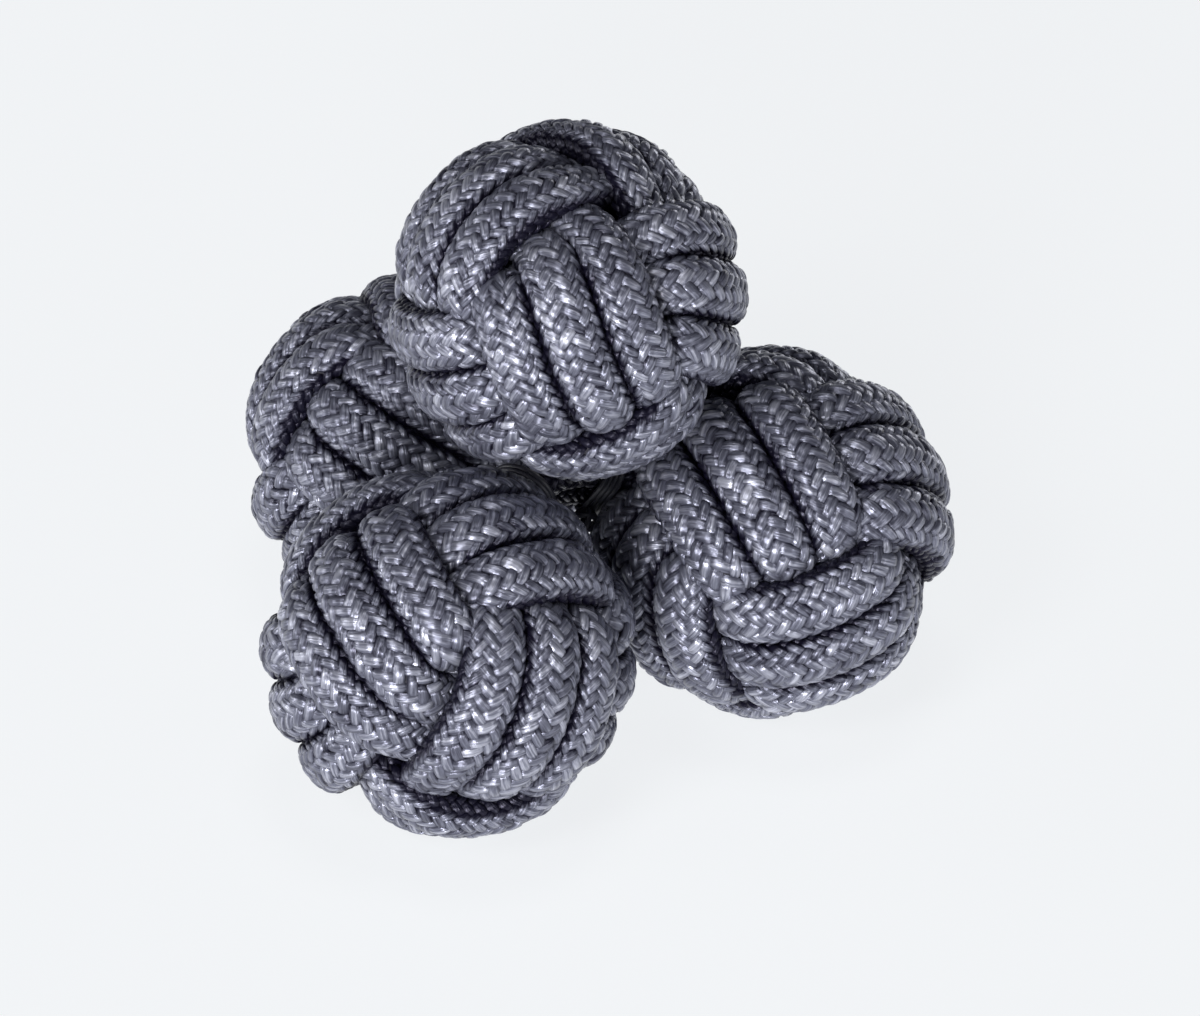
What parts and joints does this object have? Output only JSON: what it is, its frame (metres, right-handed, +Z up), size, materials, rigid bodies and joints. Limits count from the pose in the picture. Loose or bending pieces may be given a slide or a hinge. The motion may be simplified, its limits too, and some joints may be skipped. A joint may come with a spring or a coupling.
{
  "type": "silk knot cufflink pair",
  "caption": "Silk-knot cufflinks lying in a pile: balls wound from glossy slate-grey braided cord, joined in twos by short elastic cord links.",
  "frame": {"origin": "middle of the pile's bounding box, at the height of the table it lies on", "axes": "+Z up from the table; -Y towards the side of the pile seen in the picture; +X to the right as seen from that side"},
  "size_m": [0.0252, 0.0256, 0.0229],
  "materials": {
    "braided_cord": "glossy braided silk",
    "link_cord": "glossy braided silk",
    "knot_core": "matt wound thread",
    "stitch_thread": "thread",
    "elastic_rubber": "matt"
  },
  "bodies": {
    "first_link": {"first_link_upper_cover": "link_cord", "first_link_upper_elastic": "elastic_rubber", "first_link_lower_cover": "link_cord", "first_link_lower_elastic": "elastic_rubber", "front_neck_stitch": "stitch_thread", "right_neck_stitch": "stitch_thread"},
    "front_knot": {"front_knot_cord": "braided_cord", "front_knot_core": "knot_core"},
    "right_knot": {"right_knot_cord": "braided_cord", "right_knot_core": "knot_core"},
    "top_knot": {"top_knot_cord": "braided_cord", "top_knot_core": "knot_core"},
    "second_link": {"second_link_left_cover": "link_cord", "second_link_left_elastic": "elastic_rubber", "second_link_right_cover": "link_cord", "second_link_right_elastic": "elastic_rubber", "top_neck_stitch": "stitch_thread", "rear_neck_stitch": "stitch_thread"},
    "rear_knot": {"rear_knot_cord": "braided_cord", "rear_knot_core": "knot_core"}
  },
  "joints": [
    {"name": "front_twist", "type": "hinge", "parent": "first_link", "child": "front_knot", "pos_m": [-0.00519, -0.00633, 0.00644], "axis": [0.336, 0.8679, 0.3658], "range_deg": [-90, 90]},
    {"name": "right_twist", "type": "hinge", "parent": "first_link", "child": "right_knot", "pos_m": [0.00611, 0.00103, 0.00642], "axis": [-0.9288, 0.0441, 0.3679], "range_deg": [-90, 90]},
    {"name": "top_lift", "type": "slide", "parent": "first_link", "child": "top_knot", "axis": [0, 0, 1], "range_m": [0, 0.03]},
    {"name": "top_neck", "type": "hinge", "parent": "top_knot", "child": "second_link", "pos_m": [0.00056, 0.00666, 0.01663], "axis": [0.8113, -0.2484, -0.5292], "range_deg": [0, 40]},
    {"name": "rear_neck", "type": "hinge", "parent": "second_link", "child": "rear_knot", "pos_m": [-0.0023, 0.01049, 0.01043], "axis": [-0.8113, 0.2484, 0.5292], "range_deg": [0, 12]}
  ]
}
